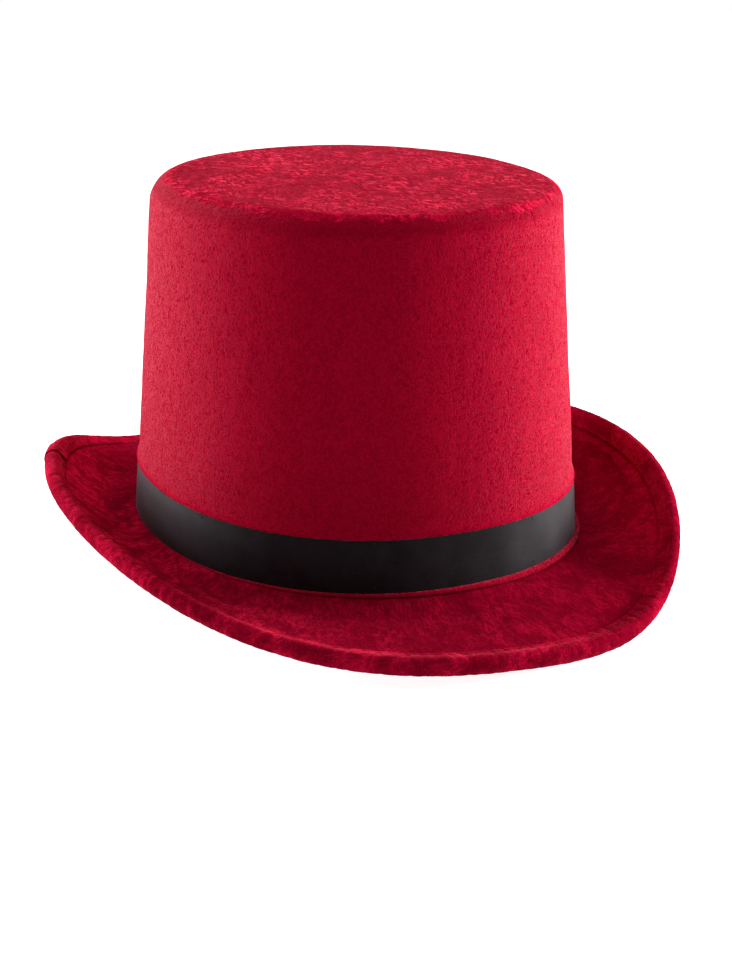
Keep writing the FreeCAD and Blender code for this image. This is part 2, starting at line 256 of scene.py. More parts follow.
def grid_piece(name, rows, closed=True, loop=False, caps=False):
    """A mesh from rows of points. Closed rows run right round the hat, loop joins the last row to
    the first, and caps closes both ends with a fan. UVs are metres along and across the cloth."""
    points = np.array(rows)
    count, columns = points.shape[:2]
    r, c = np.meshgrid(np.arange(count if loop else count - 1),
                       np.arange(columns if closed else columns - 1), indexing="ij")
    r_next, c_next = (r + 1) % count, (c + 1) % columns
    faces = np.stack([r * columns + c, r * columns + c_next, r_next * columns + c_next,
                      r_next * columns + c], -1).reshape(-1, 4).tolist()
    steps = np.linalg.norm(np.roll(points, -1, 1) - points, axis=-1).mean(0)
    along = np.concatenate([[0], np.cumsum(steps)])
    rises = np.linalg.norm(np.roll(points, -1, 0) - points, axis=-1).mean(1)
    across = np.concatenate([[0], np.cumsum(rises)])
    uvs = np.stack([along[c], across[r], along[c + 1], across[r], along[c + 1], across[r + 1],
                    along[c], across[r + 1]], -1).reshape(-1, 2).tolist()
    vertices = points.reshape(-1, 3).tolist()
    if caps:
        for row, flip in ((0, True), (count - 1, False)):
            centre = len(vertices)
            vertices.append(points[row].mean(0).tolist())
            for column in range(columns):
                pair = [row * columns + column, row * columns + (column + 1) % columns]
                faces.append([*(pair[::-1] if flip else pair), centre])
                uvs += [[along[column], across[row]]] * 3
    mesh = bpy.data.meshes.new(name)
    fill(mesh, vertices, faces, uvs)
    return link(name, mesh)


def band_piece(name, t, out, low, high, thickness, rows=10, wave=None, closed=True):
    """A ribbon round the crown, from out to out + thickness and low to high, with round edges.
    wave(t, share) moves it outwards at a share of its height."""
    wave = wave or (lambda angle, share: 0 * angle)
    turned = 0.008  # the share of the height that each rounded edge takes
    bend = [0, turned / 3, turned]
    shares = [*bend, *np.linspace(2 * turned, 1 - 2 * turned, rows), *[1 - x for x in bend[::-1]]]
    section = []
    for half, ordered in ((0.5, shares), (-0.5, shares[::-1])):
        for share in ordered:
            flat = smooth(min(share, 1 - share), 0, turned)
            section.append((thickness * (0.5 + half * flat), share))
    grid = [crown_points(t, out + depth + wave(t, share), low + (high - low) * share)
            for depth, share in section]
    piece = grid_piece(name, grid, closed, loop=True)
    if not closed:
        cap_ends(piece.data, len(grid), len(t))
    return piece


def cap_ends(mesh, count, columns):
    """Close both ends of an open strip whose section is a loop of count points."""
    vertices = [list(v.co) for v in mesh.vertices]
    faces = [list(face.vertices) for face in mesh.polygons]
    uvs = [list(spot.uv) for spot in mesh.uv_layers[0].data]
    for column, flip in ((0, True), (columns - 1, False)):
        ring = [row * columns + column for row in range(count)]
        for row in range(count // 2 - 1):
            face = [ring[row], ring[row + 1], ring[count - 2 - row], ring[count - 1 - row]]
            faces.append(face[::-1] if flip else face)
            uvs += [[0, row * MM]] * 4
    mesh.clear_geometry()
    fill(mesh, vertices, faces, uvs)


def thread_piece(name, middles, alongs, normals, length):
    """Short stitches: a twisted thread that dives into the cloth at both ends. Each stitch has a
    middle, a direction along it and the cloth's normal."""
    sides, rings = 6, 9
    twist = 0.5  # radians from one ring to the next
    swell = 0.18  # how far each of the two plies stands out, as a share of the radius
    thinning = 0.35  # how much of the radius is lost at the ends
    vertices, faces = [], []
    for middle, along, normal in zip(middles, alongs, normals):
        side = np.cross(normal, along)
        start = len(vertices)
        for ring, share in enumerate(np.linspace(-1, 1, rings)):
            dive = THREAD * (1.2 * share ** 6 + 0.1 * share * share)
            centre = middle + along * share * length / 2 - normal * dive
            radius = THREAD / 2 * (1 - thinning * share ** 4)
            for corner in range(sides):
                turn = 2 * math.pi * corner / sides + ring * twist
                plies = 1 + swell * math.cos(2 * turn - ring)
                offset = side * math.cos(turn) + normal * math.sin(turn)
                vertices.append((centre + offset * radius * plies).tolist())
        for ring in range(rings - 1):
            for corner in range(sides):
                a = start + ring * sides + corner
                b = start + ring * sides + (corner + 1) % sides
                faces.append([a, b, b + sides, a + sides])
        faces.append([start + corner for corner in range(sides)][::-1])
        faces.append([len(vertices) - sides + corner for corner in range(sides)])
    mesh = bpy.data.meshes.new(name)
    fill(mesh, vertices, faces)
    return link(name, mesh)


def dress(piece, material, nodes, body="hat"):
    """Give a piece its material and its body, and hide the CAD nodes that it stands for."""
    piece.data.materials.append(material)
    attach(piece, body)
    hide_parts(*nodes)
    return piece


# -------- materials

# Colours, from dark to light. Those of the velvets are of nap that lies down and nap that stands.
WHITE = (1, 1, 1, 1)
CROWN_REDS = (0.24, 0.0002, 0.012, 1), (0.95, 0.006, 0.060, 1)
# The brim's and the binding's reds are darker copies of the crown's red: partly their flatter nap,
# partly painted shade.
BRIM_SHADED_REDS = (0.115, 0.0001, 0.007, 1), (0.66, 0.004, 0.042, 1)
HEM_SHADED_REDS = (0.115, 0.0001, 0.006, 1), (0.64, 0.004, 0.042, 1)
THREAD_REDS = (0.24, 0.0004, 0.010, 1), (0.50, 0.004, 0.030, 1)
THREAD_BLACKS = (0.008, 0.008, 0.009, 1), (0.04, 0.04, 0.042, 1)
SATIN_BLACKS = (0.0078, 0.0056, 0.0070, 1), (0.0145, 0.0115, 0.0140, 1)
SATIN_SLUB = (0.018, 0.015, 0.018, 1)
SATIN_THREAD = (0.026, 0.023, 0.028, 1)
GROSGRAIN_BLACKS = (0.010, 0.010, 0.011, 1), (0.026, 0.025, 0.026, 1)
LINING_BLACKS = (0.012, 0.012, 0.013, 1), (0.028, 0.027, 0.029, 1)
LABEL_WHITES = (0.60, 0.58, 0.55, 1), (0.80, 0.79, 0.76, 1)
FELT_BLACKS = (0.012, 0.011, 0.011, 1), (0.05, 0.047, 0.045, 1)
FELT_DUST = (0.07, 0.065, 0.062, 1)
STEEL_GREYS = (0.42, 0.42, 0.43, 1), (0.6, 0.6, 0.61, 1)

# The distance after which the bands of a wave texture of scale 1 repeat.
WAVE_LENGTH = math.pi / 10


class Paint:
    """A material under construction, with short names for the nodes that cloth needs."""

    def __init__(self, name, roughness, specular=0.2):
        self.material = bpy.data.materials.new(name)
        self.material.use_nodes = True
        self.tree = self.material.node_tree
        self.shader = self.tree.nodes["Principled BSDF"]
        self.shader.inputs["Roughness"].default_value = roughness
        self.shader.inputs["Specular IOR Level"].default_value = specular
        self.coordinates = self.tree.nodes.new("ShaderNodeTexCoord")

    def node(self, kind, **settings):
        """A new shader node with these settings."""
        made = self.tree.nodes.new("ShaderNode" + kind)
        for key, value in settings.items():
            setattr(made, key, value)
        return made

    def set(self, socket, value):
        """Link a node's output to a socket, or give the socket a plain value."""
        if isinstance(value, bpy.types.NodeSocket):
            self.tree.links.new(value, socket)
        else:
            socket.default_value = value

    def place(self, scale=(1, 1, 1), kind="Object"):
        """Coordinates in the piece's own space or along its cloth, scaled along each axis."""
        mapping = self.node("Mapping")
        mapping.inputs["Scale"].default_value = scale
        self.set(mapping.inputs["Vector"], self.coordinates.outputs[kind])
        return mapping.outputs["Vector"]

    def noise(self, place, scale, detail=2.0, roughness=0.5, distortion=0.0):
        """Noise from 0 to 1. A larger scale makes it finer."""
        made = self.node("TexNoise")
        self.set(made.inputs["Vector"], place)
        made.inputs["Scale"].default_value = scale
        made.inputs["Detail"].default_value = detail
        made.inputs["Roughness"].default_value = roughness
        made.inputs["Distortion"].default_value = distortion
        return made.outputs["Fac"]

    def worms(self, place, scale):
        """Short curled lines, as in a knit: where a noise crosses its middle value."""
        level = self.noise(place, scale, detail=2, distortion=1.2)
        away = self.math("ABSOLUTE", self.math("SUBTRACT", level, 0.5), 0)
        return self.step(away, 0.0, 0.12, 1.0, 0.0)

    def position(self, axis, kind="Object"):
        """Where a point is along X, Y or Z in the piece's own space, or along its cloth."""
        parts = self.node("SeparateXYZ")
        self.set(parts.inputs["Vector"], self.place(kind=kind))
        return parts.outputs[axis]

    def wave(self, place, direction, scale, distortion=0.3):
        """Bands from 0 to 1 that follow one another in a direction."""
        made = self.node("TexWave", wave_type="BANDS", bands_direction=direction)
        self.set(made.inputs["Vector"], place)
        made.inputs["Scale"].default_value = scale
        made.inputs["Distortion"].default_value = distortion
        return made.outputs["Fac"]

    def math(self, operation, a, b):
        """The result of one operation on two values."""
        made = self.node("Math", operation=operation)
        self.set(made.inputs[0], a)
        self.set(made.inputs[1], b)
        return made.outputs[0]

    def step(self, value, low, high, start=0.0, end=1.0):
        """Stretch a value from low and high to start and end, with soft ends."""
        made = self.node("MapRange", interpolation_type="SMOOTHSTEP")
        self.set(made.inputs["Value"], value)
        made.inputs["From Min"].default_value = low
        made.inputs["From Max"].default_value = high
        made.inputs["To Min"].default_value = start
        made.inputs["To Max"].default_value = end
        return made.outputs["Result"]

    def between(self, factor, start, end):
        """start where the factor is 0 and end where it is 1."""
        return self.step(factor, 0.0, 1.0, start, end)

    def mix(self, factor, a, b):
        """The colour a where the factor is 0, and b where it is 1."""
        made = self.node("Mix", data_type="RGBA")
        self.set(made.inputs["Factor"], factor)
        self.set(made.inputs["A"], a)
        self.set(made.inputs["B"], b)
        return made.outputs["Result"]

    def bump(self, height, distance, strength=1.0, under=None):
        """A relief as deep as this distance, on top of the relief under it."""
        made = self.node("Bump")
        made.inputs["Distance"].default_value = distance
        made.inputs["Strength"].default_value = strength
        self.set(made.inputs["Height"], height)
        if under is not None:
            self.set(made.inputs["Normal"], under)
        return made.outputs["Normal"]

    def finish(self, colour, normal, sheen=(0, 0.3, WHITE)):
        """Set the colour, the relief, and the sheen's weight, roughness and tint."""
        self.set(self.shader.inputs["Base Color"], colour)
        self.set(self.shader.inputs["Normal"], normal)
        self.shader.inputs["Sheen Weight"].default_value = sheen[0]
        self.shader.inputs["Sheen Roughness"].default_value = sheen[1]
        self.shader.inputs["Sheen Tint"].default_value = sheen[2]
        return self.material


def velvet(paint, dark, light, crush, whole, strokes, grain, sheen, tint, shade=1.0):
    """Velvet: a short dense pile over a soft knit. crush is how strongly its nap lies in patches,
    whole how little they are broken up and strokes the space they are broken up in, grain how
    strongly the knit shows through it, sheen how much light it throws back at a slant, and shade
    is painted light and shade: a factor on its colour and sheen, darker below 1, lighter above 1."""
    space = paint.place()
    patches = paint.noise(space, scale=52, detail=6, roughness=0.68, distortion=0.8)
    mottle = paint.noise(strokes, scale=520, detail=3, roughness=0.6, distortion=1.2)
    pile = paint.noise(space, scale=1700, detail=2, roughness=0.6)
    knit = paint.math("MULTIPLY", paint.worms(paint.place((1, 1, 0.7)), scale=850), grain)
    nap = paint.math("MULTIPLY", paint.step(patches, 0.38, 0.62, 0.15, 1.0),
                     paint.step(mottle, 0.40, 0.62, whole, 1.0))
    crushed = paint.math("MULTIPLY", nap, crush)
    amount = paint.math("ADD", crushed, paint.math("MULTIPLY", knit, 0.20))
    amount = paint.math("ADD", amount, paint.step(pile, 0.36, 0.64, 0.0, 0.14))
    # shade paints light and shade onto the colour, and below onto the sheen.
    amount = paint.math("MULTIPLY", amount, shade)
    lifted = paint.math("ADD", paint.math("ADD", knit, crushed), 0.08)
    lifted = paint.math("MULTIPLY", lifted, shade)
    normal = paint.bump(paint.math("MULTIPLY", patches, crush), 1.2 * MM, 0.8)
    normal = paint.bump(crushed, 0.3 * MM, 0.9, normal)
    normal = paint.bump(paint.math("ADD", knit, pile), 0.10 * MM, 0.9, normal)
    paint.finish(paint.mix(amount, dark, light), normal, (1.0, 0.32, tint))
    paint.set(paint.shader.inputs["Sheen Weight"], paint.math("MULTIPLY", lifted, sheen))
    return paint.material


def crown_paint():
    """The crown's velvet: smooth on its wall, crushed on its tip, with painted shade in a band round
    the edge between them, and dull on its foot and where its lip lies on the ribbon."""
    paint = Paint("crown_velvet", roughness=0.9, specular=0.0)
    ragged = paint.noise(paint.place(), scale=130, detail=4, roughness=0.65)
    level = paint.position("Z")
    height = paint.math("ADD", level, paint.step(ragged, 0.3, 0.7, -0.9 * MM, 0.9 * MM))
    on_tip = paint.step(height, TIP - 2.8 * MM, TIP - 0.3 * MM)
    # Painted shade: a dark band on the rounded edge below the tip, where its shadow falls; it darkens
    # the colour and the sheen.
    edge_shadow_band = paint.math("MULTIPLY", paint.step(height, TIP - 10 * MM, TIP - 4 * MM),
                         paint.between(on_tip, 1.0, 0.0))
    from_lip = paint.math("ABSOLUTE", paint.math("SUBTRACT", level, BAND_TOP), 0)
    bright = paint.math("MULTIPLY", paint.step(level, FOOT - 2.8 * MM, FOOT - 0.5 * MM, 0.1, 0.7),
                        paint.step(from_lip, 0.5 * MM, 2.5 * MM, 0.2, 1.0))
    return velvet(paint, *CROWN_REDS, crush=paint.between(on_tip, 0.04, 0.74), whole=0.0,
                  strokes=paint.place((1, 0.42, 1)), grain=paint.between(on_tip, 1.0, 0.3),
                  sheen=paint.math("MULTIPLY", bright, paint.between(on_tip, 1.15, 0.24)),
                  tint=(1.0, 0.48, 0.54, 1), shade=paint.between(edge_shadow_band, 1.0, 0.55))


def brim_paint():
    """The brim's velvet: dark and crushed, its crush strongest at the front and, most of all, at
    the wearer's right, which is partly crushed nap and partly painted light there."""
    paint = Paint("brim_velvet", roughness=0.9, specular=0.0)
    # Crushed nap and painted light: stronger crush, so lighter colour and more sheen, at the front
    # and the wearer's right.
    crush_and_painted_light = paint.math("MULTIPLY", paint.step(paint.position("X"), -110 * MM, -60 * MM, 1.0, 0.25),
                         paint.step(paint.position("Y"), -60 * MM, 10 * MM, 1.3, 1.0))
    return velvet(paint, *BRIM_SHADED_REDS, crush=crush_and_painted_light, whole=0.22,
                  strokes=paint.place((1, 0.42, 1), "UV"), grain=0.25, sheen=0.10,
                  tint=(1.0, 0.25, 0.33, 1))


def hem_paint():
    """The velvet of the binding: crushed by the roll and its stitches, with painted light at the
    very front and painted shade towards the wearer's left, and dull inside its first lip."""
    paint = Paint("hem_velvet", roughness=0.9, specular=0.0)
    # Painted light at the very front and painted shade towards the wearer's left, on the colour and
    # the sheen.
    painted_light_and_shade = paint.math("MULTIPLY", paint.step(paint.position("X"), -20 * MM, 90 * MM, 1.0, 0.55),
                      paint.step(paint.position("Y"), -120 * MM, -100 * MM, 1.3, 1.0))
    inside_lip = paint.step(paint.position("Y", "UV"), 0.5 * MM, 3.5 * MM, 0.04, 0.22)
    return velvet(paint, *HEM_SHADED_REDS, crush=0.68, whole=0.36, strokes=paint.place(),
                  grain=0.4, sheen=inside_lip, tint=(1.0, 0.28, 0.36, 1), shade=painted_light_and_shade)


def satin():
    """Satin: long floats across the ribbon, with a soft sheen and faint slubs."""
    paint = Paint("satin", roughness=0.5, specular=0.08)
    slubs = paint.noise(paint.place((70, 2600, 1), "UV"), scale=1, detail=2)
    fine = paint.noise(paint.place((2600, 1500, 1), "UV"), scale=1, detail=1)
    haze = paint.noise(paint.place(), scale=85, detail=4, roughness=0.6)
    colour = paint.mix(paint.step(haze, 0.35, 0.7), *SATIN_BLACKS)
    colour = paint.mix(paint.step(slubs, 0.5, 0.75, 0.0, 0.5), colour, SATIN_SLUB)
    colour = paint.mix(paint.step(fine, 0.45, 0.75, 0.0, 0.4), colour, SATIN_THREAD)
    paint.set(paint.shader.inputs["Roughness"], paint.step(slubs, 0.3, 0.7, 0.42, 0.58))
    normal = paint.bump(slubs, 0.05 * MM, 0.9)
    normal = paint.bump(fine, 0.06 * MM, 0.8, normal)
    return paint.finish(colour, normal, (0.12, 0.4, (1, 0.92, 1, 1)))


def woven(name, colours, roughness, rib, depth):
    """A plain cloth with ribs this far apart, which run across it."""
    paint = Paint(name, roughness, specular=0.3)
    cloth = paint.place(kind="UV")
    ribs = paint.wave(cloth, "X", WAVE_LENGTH / rib)
    threads = paint.noise(cloth, scale=2600, detail=1)
    haze = paint.noise(paint.place(), scale=90, detail=4, roughness=0.65)
    shade = paint.math("ADD", paint.step(haze, 0.3, 0.7, 0.0, 0.6), paint.step(ribs, 0, 1, 0.0, 0.4))
    normal = paint.bump(ribs, depth)
    normal = paint.bump(threads, 0.06 * MM, 0.6, normal)
    return paint.finish(paint.mix(shade, *colours), normal, (0.2, 0.4, WHITE))


def twisted(name, colours, shine):
    """Sewing thread: two plies twisted together."""
    ply = 0.35 * MM
    paint = Paint(name, roughness=0.5, specular=shine)
    space = paint.place()
    plies = paint.wave(space, "DIAGONAL", WAVE_LENGTH / ply, distortion=0.5)
    haze = paint.noise(space, scale=700, detail=3)
    normal = paint.bump(plies, 0.05 * MM, 0.8)
    return paint.finish(paint.mix(paint.math("MULTIPLY", plies, haze), *colours), normal,
                        (shine, 0.3, colours[1]))


def board(name):
    """Stiffened black felt: matted fibres and a slight shine from the size in it."""
    paint = Paint(name, roughness=0.85, specular=0.25)
    space = paint.place()
    fibres = paint.noise(space, scale=900, detail=5, roughness=0.7, distortion=2.0)
    haze = paint.noise(space, scale=70, detail=4, roughness=0.6)
    colour = paint.mix(paint.step(fibres, 0.3, 0.7), *FELT_BLACKS)
    colour = paint.mix(paint.step(haze, 0.4, 0.7, 0.0, 0.3), colour, FELT_DUST)
    return paint.finish(colour, paint.bump(fibres, 0.3 * MM, 0.8), (0.3, 0.5, WHITE))


def steel():
    """Spring steel wire, drawn along its length and slightly dull."""
    paint = Paint("steel", roughness=0.34, specular=0.5)
    paint.shader.inputs["Metallic"].default_value = 1.0
    space = paint.place()
    drawn = paint.noise(space, scale=3200, detail=2)
    haze = paint.noise(space, scale=160, detail=5, roughness=0.7)
    paint.set(paint.shader.inputs["Roughness"], paint.step(haze, 0.3, 0.7, 0.26, 0.5))
    return paint.finish(paint.mix(haze, *STEEL_GREYS), paint.bump(drawn, 0.03 * MM, 0.6))


CROWN_VELVET = crown_paint()
BRIM_VELVET = brim_paint()
HEM_VELVET = hem_paint()
SATIN = satin()
GROSGRAIN = woven("grosgrain", GROSGRAIN_BLACKS, roughness=0.7, rib=1.1 * MM, depth=0.25 * MM)
LINING_CLOTH = woven("lining", LINING_BLACKS, roughness=0.5, rib=0.5 * MM, depth=0.05 * MM)
LABEL = woven("label", LABEL_WHITES, roughness=0.7, rib=0.4 * MM, depth=0.05 * MM)
RED_THREAD = twisted("red_thread", THREAD_REDS, shine=0.03)
BLACK_THREAD = twisted("black_thread", THREAD_BLACKS, shine=0.3)
BOARD = board("board")
STEEL = steel()


# -------- velvet pieces

def ledge(t):
    """How far the crown's velvet shows below the ribbon: most at the wearer's front left."""
    return 1.9 * MM - 1.45 * MM * np.cos(t - ROUNDEST)


def crown_inner_rows(t, radius, drop):
    """Rows of the inner face of the crown's velvet, from the middle of the tip to the foot."""
    bend = radius - VELVET
    rows = [crown_points(t, -radius, TIP - VELVET) * [share, share, 1] for share in (0.1, 0.6, 0.95)]
    for turn in np.radians([90, 60, 30, 0]):
        rows.append(crown_points(t, -radius + bend * math.cos(turn),
                                 TIP - radius + bend * math.sin(turn)))
    for z in (TIP - 50 * MM, BAND_TOP, FOOT, FOOT - 0.97 * drop):
        rows.append(crown_points(t, -VELVET, z))
    return rows


def crown_foot_rows(t, drop, ragged):
    """Rows of the soft foot that bulges out below the ribbon, and of the wall behind it."""
    flare = 0.8 * MM + 0.55 * drop
    ragged_at, ragged_over = 0.95, 0.3  # radians up the bulge, near where it meets the ribbon
    rows = []
    for turn in np.radians([-70, -50, -30, -10, 10, 30, 50, 65, 80]):
        lift = 0.2 * MM * ragged * math.exp(-((turn - ragged_at) / ragged_over) ** 2)
        rows.append(crown_points(t, flare * math.cos(turn),
                                 FOOT - 0.5 * MM - drop / 2 * (1 - math.sin(turn)) + lift))
    for z in (FOOT - 0.2 * MM, (FOOT + BAND_TOP) / 2, BAND_TOP - 0.6 * MM):
        rows.append(crown_points(t, 0, z))
    return rows


def crown_lip_rows(t, ragged):
    """Rows of the lip of nap over the ribbon's top edge: under it, its ragged lower edge, and up
    its outside. Their places are millimetres out from the crown's wall and up from that edge."""
    under = ((0.15, 0.15), (0.78, 0.12))
    hang = 0.15 * MM + 0.3 * MM * ragged
    over = ((1.15, 0.3), (1.10, 0.8), (0.85, 1.6), (0.55, 2.8), (0.25, 4.4), (0.08, 6.2))
    rows = [crown_points(t, out * MM, BAND_TOP + up * MM) for out, up in under]
    rows.append(crown_points(t, 1.05 * MM, BAND_TOP - hang))
    return rows + [crown_points(t, out * MM, BAND_TOP + up * MM) for out, up in over]


def crown_wall_rows(t, radius):
    """Rows of the wall above the lip, of the rounded edge and of the tip."""
    wall, bend, tip = 46, 12, 30
    start = BAND_TOP + 8 * MM
    rows = []
    for share in np.linspace(0, 1, wall):
        rows.append(crown_points(t, 0, start + (TIP - radius - start) * share))
    for turn in np.radians(np.linspace(0, 90, bend)[1:]):
        rows.append(crown_points(t, -radius + radius * math.cos(turn),
                                 TIP - radius + radius * math.sin(turn)))
    for share in np.linspace(0.97, 0.03, tip):
        rows.append(crown_points(t, -radius, TIP) * [share, share, 1])
    return rows


def crown_velvet():
    """The crown's velvet: a soft foot below the ribbon, a lip of nap over the ribbon's top edge,
    the wall, the rounded edge and the tip. Above the ribbon its nap stands unevenly."""
    t = around(FINE)
    radius = TIP_EDGE_RADIUS + TIP_EDGE_LEAN * np.cos(t - ROUNDEST)
    drop = ledge(t)
    ragged = 0.5 + 0.5 * cloud(crown_points(t, 0, BAND_TOP), 2.2 * MM, 2)
    outer = np.array(crown_foot_rows(t, drop, ragged) + crown_lip_rows(t, ragged)
                     + crown_wall_rows(t, radius))
    away = outer - 0.5 * TIP * UP
    away /= np.linalg.norm(away, axis=-1, keepdims=True)
    above_band = smooth(outer[..., 2], BAND_TOP + 3 * MM, BAND_TOP + 14 * MM)
    soft = 0.30 * MM * (1 + cloud(outer, 34 * MM, 2)) + 0.10 * MM * cloud(outer, 4 * MM, 2)
    outer = outer + away * (soft * above_band)[..., None]
    piece = grid_piece("crown_velvet", [*crown_inner_rows(t, radius, drop), *outer], caps=True)
    dress(piece, CROWN_VELVET, ["crown_cover"])


def along_brim(t, share, start=0.0):
    """The brim's parameter at a share of the way from start, a distance from its root, to where
    its cloth ends under the lip of the binding."""
    length = brim_section(t)[2]
    return (start + (length - LIP_REACH + TUCK - start) * share) / length


def brim_top_velvet():
    """The velvet on top of the brim. It ramps up to the crown's foot, most at the right back."""
    t = around(FINE)
    outward = brim_section(t)[1]
    wall = crown_points(t, 0, FOOT)

    def row(share, lift):
        return brim_points(t, along_brim(t, share ** 1.25, UNDER_CROWN), lift)[0]
    rise = np.maximum(0, FOOT - ledge(t) - row(0, BRIM_STACK)[:, 2])
    rows = []
    for share in np.linspace(0, 1, 44):
        place = row(share, BRIM_STACK)
        beyond = ((place - wall) * outward).sum(-1)
        ramp = (rise + 0.2 * MM) * (1 - smooth(beyond, -2 * MM, 16 * MM))
        crushed = 0.22 * MM * cloud(place, 9 * MM, 3) + 0.25 * MM * cloud(place, 40 * MM, 2)
        crushed = crushed * smooth(share, 0.05, 0.2) * (1 - 0.9 * share ** 8)
        place[:, 2] += ramp + crushed
        rows.append(place)
    rows += [row(share, BRIM_STACK - VELVET) for share in FLAT_SHARES]
    piece = grid_piece("brim_top_velvet", rows[::-1], loop=True)
    dress(piece, BRIM_VELVET, ["brim_top_cover"])


def brim_under_velvet():
    """The velvet on the underside of the brim."""
    t = around(FINE)
    rows = []
    for share in np.linspace(0, 1, 34):
        place, _, normal = brim_points(t, along_brim(t, share), -BRIM_STACK)
        crushed = 0.2 * MM * cloud(place, 9 * MM, 3) * (1 - share ** 8)
        rows.append(place + normal * crushed[:, None])
    rows += [brim_points(t, along_brim(t, share), VELVET - BRIM_STACK)[0] for share in FLAT_SHARES]
    piece = grid_piece("brim_under_velvet", rows, loop=True)
    dress(piece, BRIM_VELVET, ["brim_under_cover"])


def edge_middle(t):
    """Points in the middle of the rolled edge."""
    return brim_points(t, 1, 0)[0]


def binding_section(t, extra):
    """Rows of the binding's outer face, from its upper lip round the roll to its lower lip. extra
    is added outside."""
    middle, ahead, normal = brim_points(t, 1, 0)
    thin = BRIM_STACK + GAP + VELVET + extra
    thick = EDGE_RADIUS + extra
    reaches = LIP_REACH * np.linspace(1, 0, 9)[:-1]

    def lip_row(reach, side):
        lift = thin + (thick - thin) * smooth(LIP_REACH - reach, 0, LIP_REACH)
        return brim_points(t, back_from_edge(t, reach), side * lift)[0]
    rows = [lip_row(reach, 1) for reach in reaches]
    for turn in np.linspace(math.pi / 2, -math.pi / 2, 15):
        rows.append(middle + thick * (ahead * math.cos(turn) + normal * math.sin(turn)))
    rows += [lip_row(reach, -1) for reach in reaches[::-1]]
    return np.array(rows)


def binding():
    """The velvet strip rolled over the brim's edge. Each stitch pulls its lips down, and the cloth
    puckers between one stitch and the next."""
    stitch_spread = 0.17  # of the distance between stitches
    lip_at, lip_spread = 0.84, 0.22  # of the way from the middle of the roll to a lip's end
    pull_at_lip, pull_on_roll = 0.26, 0.16  # millimetres, like the three below
    puff, unevenness, nap = 0.25, 0.14, 0.35
    t, length = evenly(edge_middle, BINDING_COLUMNS)
    run = np.arange(len(t)) * length / len(t)
    count = round(length / STITCH_PITCH)
    pitch = length / count
    number = np.round(run / pitch).astype(int) % count
    beside = (run / pitch + 0.5) % 1 - 0.5
    strength = rng.uniform(0.35, 1.0, count)
    slant = rng.uniform(-0.25, 0.25, count)
    outer = binding_section(t, 0)
    inner = binding_section(t, -VELVET)
    across = np.linspace(-1, 1, len(outer))
    centre = edge_middle(t)
    out = outer - centre
    out /= np.linalg.norm(out, axis=-1, keepdims=True)
    moved = []
    for row, share, direction in zip(outer, across, out):
        from_stitch = beside - slant[number] * (1 - abs(share))
        at_stitch = np.exp(-(from_stitch / stitch_spread) ** 2)
        near_lip = math.exp(-((abs(share) - lip_at) / lip_spread) ** 2)
        pull = (pull_at_lip * near_lip + pull_on_roll) * at_stitch * strength[number]
        uneven = unevenness * cloud(row, 7 * MM, 2)
        swell = puff * (1 - near_lip) + uneven - pull + nap
        soft = row + direction * (swell * MM)[:, None]
        soft[:, 2] = np.maximum(soft[:, 2], 0.02 * MM)  # stays above the floor
        moved.append(soft)
    piece = grid_piece("binding", [*moved, *inner[::-1]], loop=True)
    dress(piece, HEM_VELVET, ["edge_binding"])


def binding_join():
    """The doubled end of the binding, which slants across its other end at the right side."""
    t = overlap(RIGHT_SIDE, np.linalg.norm(edge_middle(np.array([RIGHT_SIDE]))), 24)

    def slanted(extra):
        count = len(binding_section(t, extra))
        leans = np.linspace(t[0] - RIGHT_SIDE, t[-1] - RIGHT_SIDE, count) / 2
        return np.array([binding_section(t + lean, extra)[row] for row, lean in enumerate(leans)])
    outer = slanted(1.15 * MM)
    inner = slanted(0.3 * MM)
    outer = outer + (0.15 * MM * cloud(outer, 5 * MM, 2))[..., None]
    piece = grid_piece("binding_join_fold", [*outer, *inner[::-1]], closed=False, loop=True)
    cap_ends(piece.data, 2 * len(outer), len(t))
    dress(piece, HEM_VELVET, ["binding_join"])


def binding_thread():
    """Stitches along both lips of the binding, sunk in the nap."""
    count = round(evenly(edge_middle, 1)[1] / STITCH_PITCH)
    t = evenly(edge_middle, count)[0]
    middles, alongs, normals = [], [], []
    for side in (1, -1):
        lift = side * (BRIM_STACK + GAP + VELVET - 0.05 * MM)
        place, ahead, normal = brim_points(t, back_from_edge(t, LIP_REACH - 1 * MM), lift)
        middles += list(place)
        alongs += list(np.cross(normal, ahead))
        normals += list(normal * side)
    piece = thread_piece("binding_thread", middles, alongs, normals, STITCH)
    dress(piece, RED_THREAD, ["binding_stitches"])


# -------- ribbon

def ripple(t, share):
    """Slight waves of the ribbon, strongest at its lower edge and at the wearer's front left."""
    count, spread = 23, 0.9  # waves in one turn, and radians to either side
    near = np.exp(-((np.angle(np.exp(1j * (t - FRONT_LEFT)))) / spread) ** 2)
    wave = 0.5 + 0.5 * np.sin(count * t + 2.2 * share)
    return (0.02 + 0.30 * near * wave) * MM * (1 - 0.6 * share)


def ribbon():
    """The satin ribbon round the foot of the crown."""
    piece = band_piece("ribbon", around(FINE), GAP, FOOT - 0.6 * MM, BAND_TOP, RIBBON, 14, ripple)
    dress(piece, SATIN, ["hat_band"])


def ribbon_join():
    """The ribbon's folded end, over its other end."""
    low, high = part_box("hat_band_join")
    ends = [math.atan2(low.y, high.x), math.atan2(high.y, low.x)]
    t = overlap((ends[0] + ends[1]) / 2, CROWN_HALF_LENGTH, 20)
    piece = band_piece("ribbon_join", t, 2 * GAP + RIBBON, FOOT + 0.1 * MM, BAND_TOP - 0.1 * MM,
                       RIBBON, 12, closed=False)
    dress(piece, SATIN, ["hat_band_join"])


